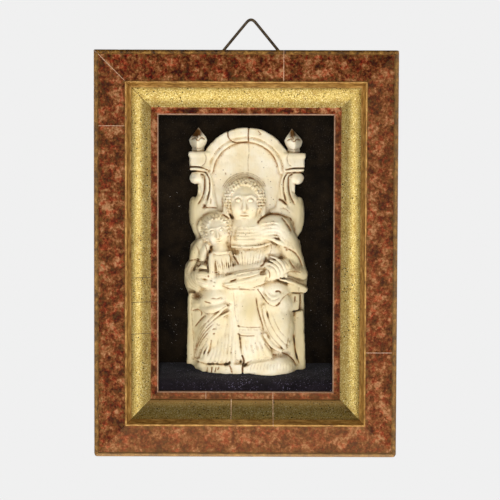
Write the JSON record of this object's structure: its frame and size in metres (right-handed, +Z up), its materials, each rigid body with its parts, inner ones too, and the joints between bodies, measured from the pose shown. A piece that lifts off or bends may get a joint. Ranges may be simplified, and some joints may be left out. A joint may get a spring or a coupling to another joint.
{
  "type": "framed ivory plaque",
  "caption": "Carved ivory relief of an enthroned figure with a child, in a velvet-lined box frame with a mottled and gilt moulding and a wire hanging ring.",
  "frame": {"origin": "the point inside the apex of the wire hanging ring where a nail carries the weight", "axes": "+Z up, +Y from the front of the frame to the wall, +X to the viewer's right"},
  "size_m": [0.1685, 0.0519, 0.2509],
  "materials": {
    "moulding": "mottled red-brown lacquer with a speckled gilt cove, worn edges",
    "case_wood": "old unfinished softwood, darkened",
    "back_board": "thin raw board, dusty",
    "velvet": "brown-black velvet with specks of lint",
    "ledge_velvet": "padded blue-black velvet, dusty",
    "ivory": "polished old ivory, brown patina in the hollows, age cracks",
    "dark_wire": "dark oxidised iron wire",
    "strap_metal": "dull dark brass sheet",
    "nail_steel": "dull iron"
  },
  "bodies": {
    "frame": {"frame_rail_top": "moulding", "frame_rail_bottom": "moulding", "frame_rail_left": "moulding", "frame_rail_right": "moulding", "case_top": "case_wood", "case_bottom": "case_wood", "case_left": "case_wood", "case_right": "case_wood", "back_board": "back_board", "velvet_back": "velvet", "velvet_left": "velvet", "velvet_right": "velvet", "velvet_top": "velvet", "velvet_ledge": "ledge_velvet", "ivory_relief": "ivory", "hanger_strap": "strap_metal", "hanger_tack_left": "nail_steel", "hanger_tack_right": "nail_steel", "back_nail_1": "nail_steel", "back_nail_2": "nail_steel", "back_nail_3": "nail_steel", "back_nail_4": "nail_steel", "back_nail_5": "nail_steel", "back_nail_6": "nail_steel"},
    "ring": {"hanger_ring": "dark_wire"}
  },
  "joints": [
    {"name": "hanger_swivel", "type": "hinge", "parent": "frame", "child": "ring", "pos_m": [0, 0.00481, -0.03219], "axis": [-1, 0, 0], "range_deg": [0, 188]}
  ]
}
